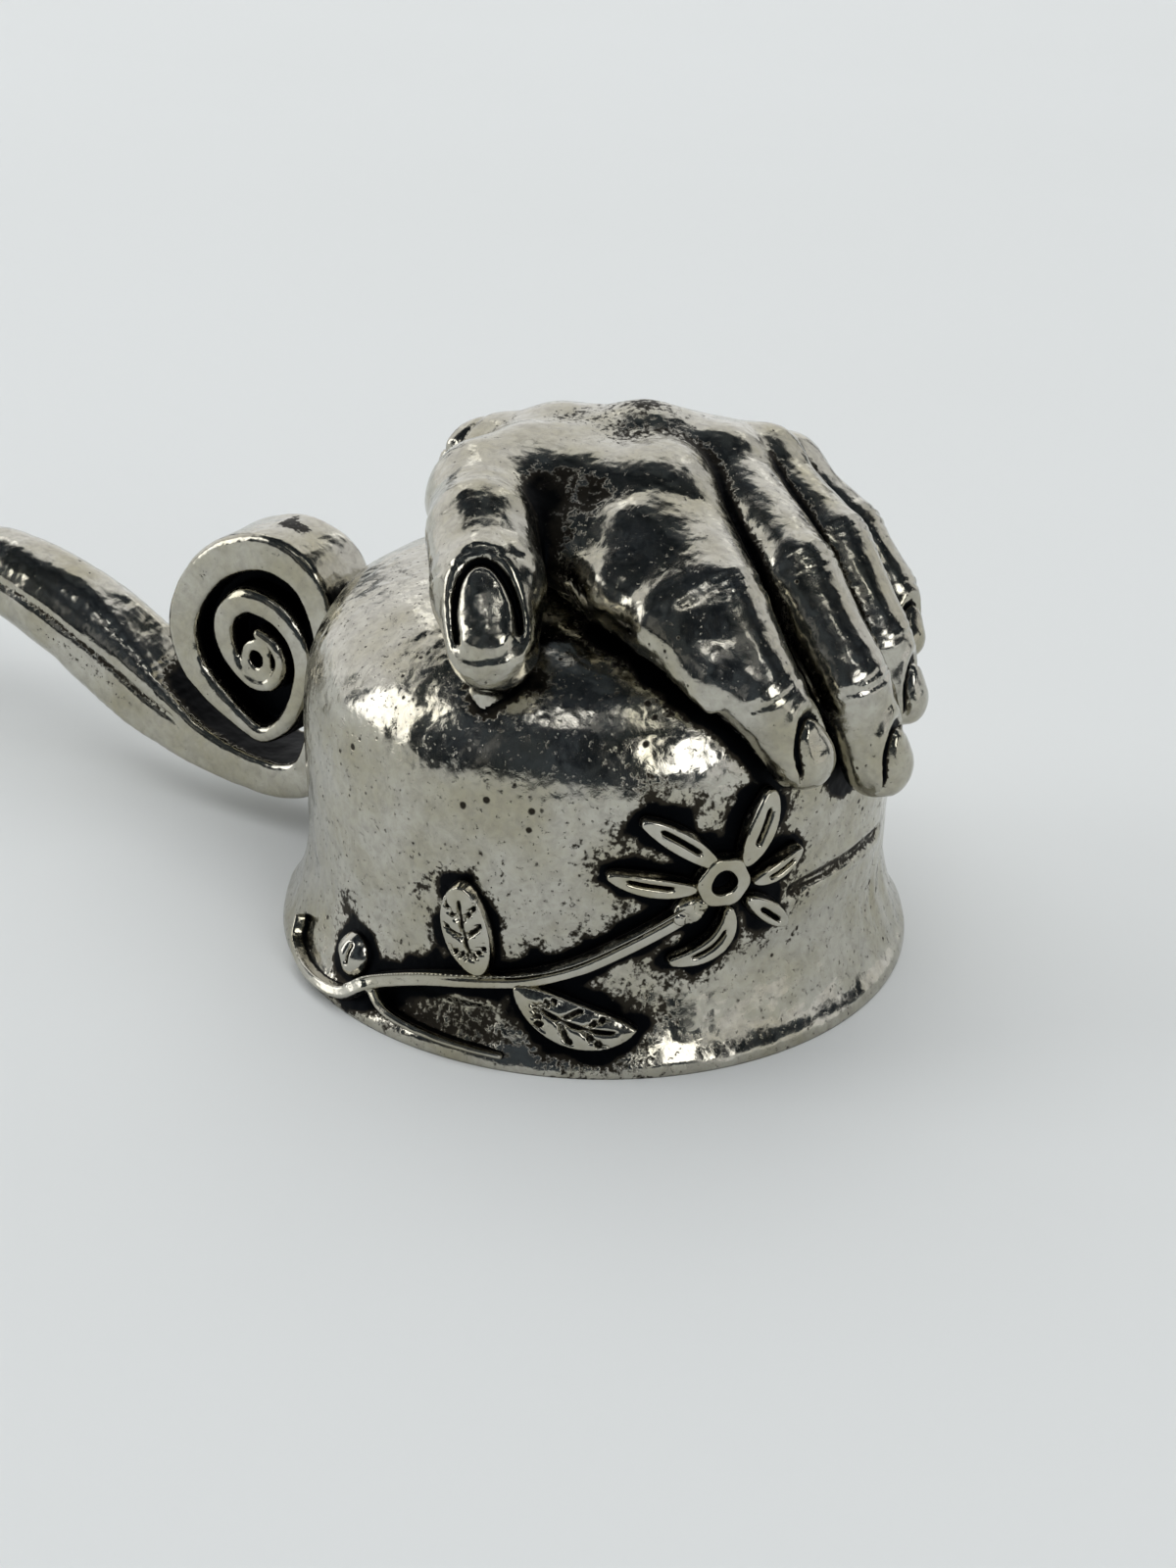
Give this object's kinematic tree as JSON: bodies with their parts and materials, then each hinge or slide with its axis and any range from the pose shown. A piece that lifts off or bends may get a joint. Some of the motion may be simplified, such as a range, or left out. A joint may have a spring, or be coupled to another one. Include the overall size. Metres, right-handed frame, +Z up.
{
  "type": "bell rattle",
  "caption": "Open cast bell with a clapper hung inside, a small hand laid over the crown, a flower spray on the wall and a handle that coils into a scroll.",
  "frame": {"origin": "centre of the bell's rim, on the surface that the rim stands on", "axes": "+Z up the bell's axis, -X along the handle, +Y across it"},
  "size_m": [0.1013, 0.04, 0.0324],
  "materials": {
    "cast_pewter": "antiqued cast pewter, hammered, dark in its pits",
    "polished_relief": "raised cast pewter, polished on top, black round the edges",
    "polished_hand": "cast pewter, polished on the knuckles, black in the creases",
    "steel_fittings": "bright drawn wire and turned washer",
    "steel_rod": "satin turned rod",
    "clapper_metal": "dull cast ball"
  },
  "bodies": {
    "rattle_body": {"bell_shell": "cast_pewter", "hand": "polished_hand", "scroll_handle": "cast_pewter", "stem": "polished_relief", "calyx": "polished_relief", "leaf_upper": "polished_relief", "leaf_lower": "polished_relief", "petal_1": "polished_relief", "petal_2": "polished_relief", "petal_3": "polished_relief", "petal_4": "polished_relief", "petal_5": "polished_relief", "petal_6": "polished_relief", "flower_ring": "polished_relief", "stem_bud": "polished_relief", "eye_stud": "steel_fittings", "crown_washer": "steel_fittings"},
    "link": {"jump_ring": "steel_fittings"},
    "clapper": {"clapper_rod": "steel_rod", "clapper_ball": "clapper_metal"}
  },
  "joints": [
    {"name": "link_swing", "type": "hinge", "parent": "rattle_body", "child": "link", "pos_m": [0, 0, 0.01885], "axis": [1, 0, 0], "range_deg": [-60, 60]},
    {"name": "clapper_swing", "type": "hinge", "parent": "link", "child": "clapper", "pos_m": [0, 0, 0.01581], "axis": [0, 1, 0], "range_deg": [-60, 60]}
  ]
}
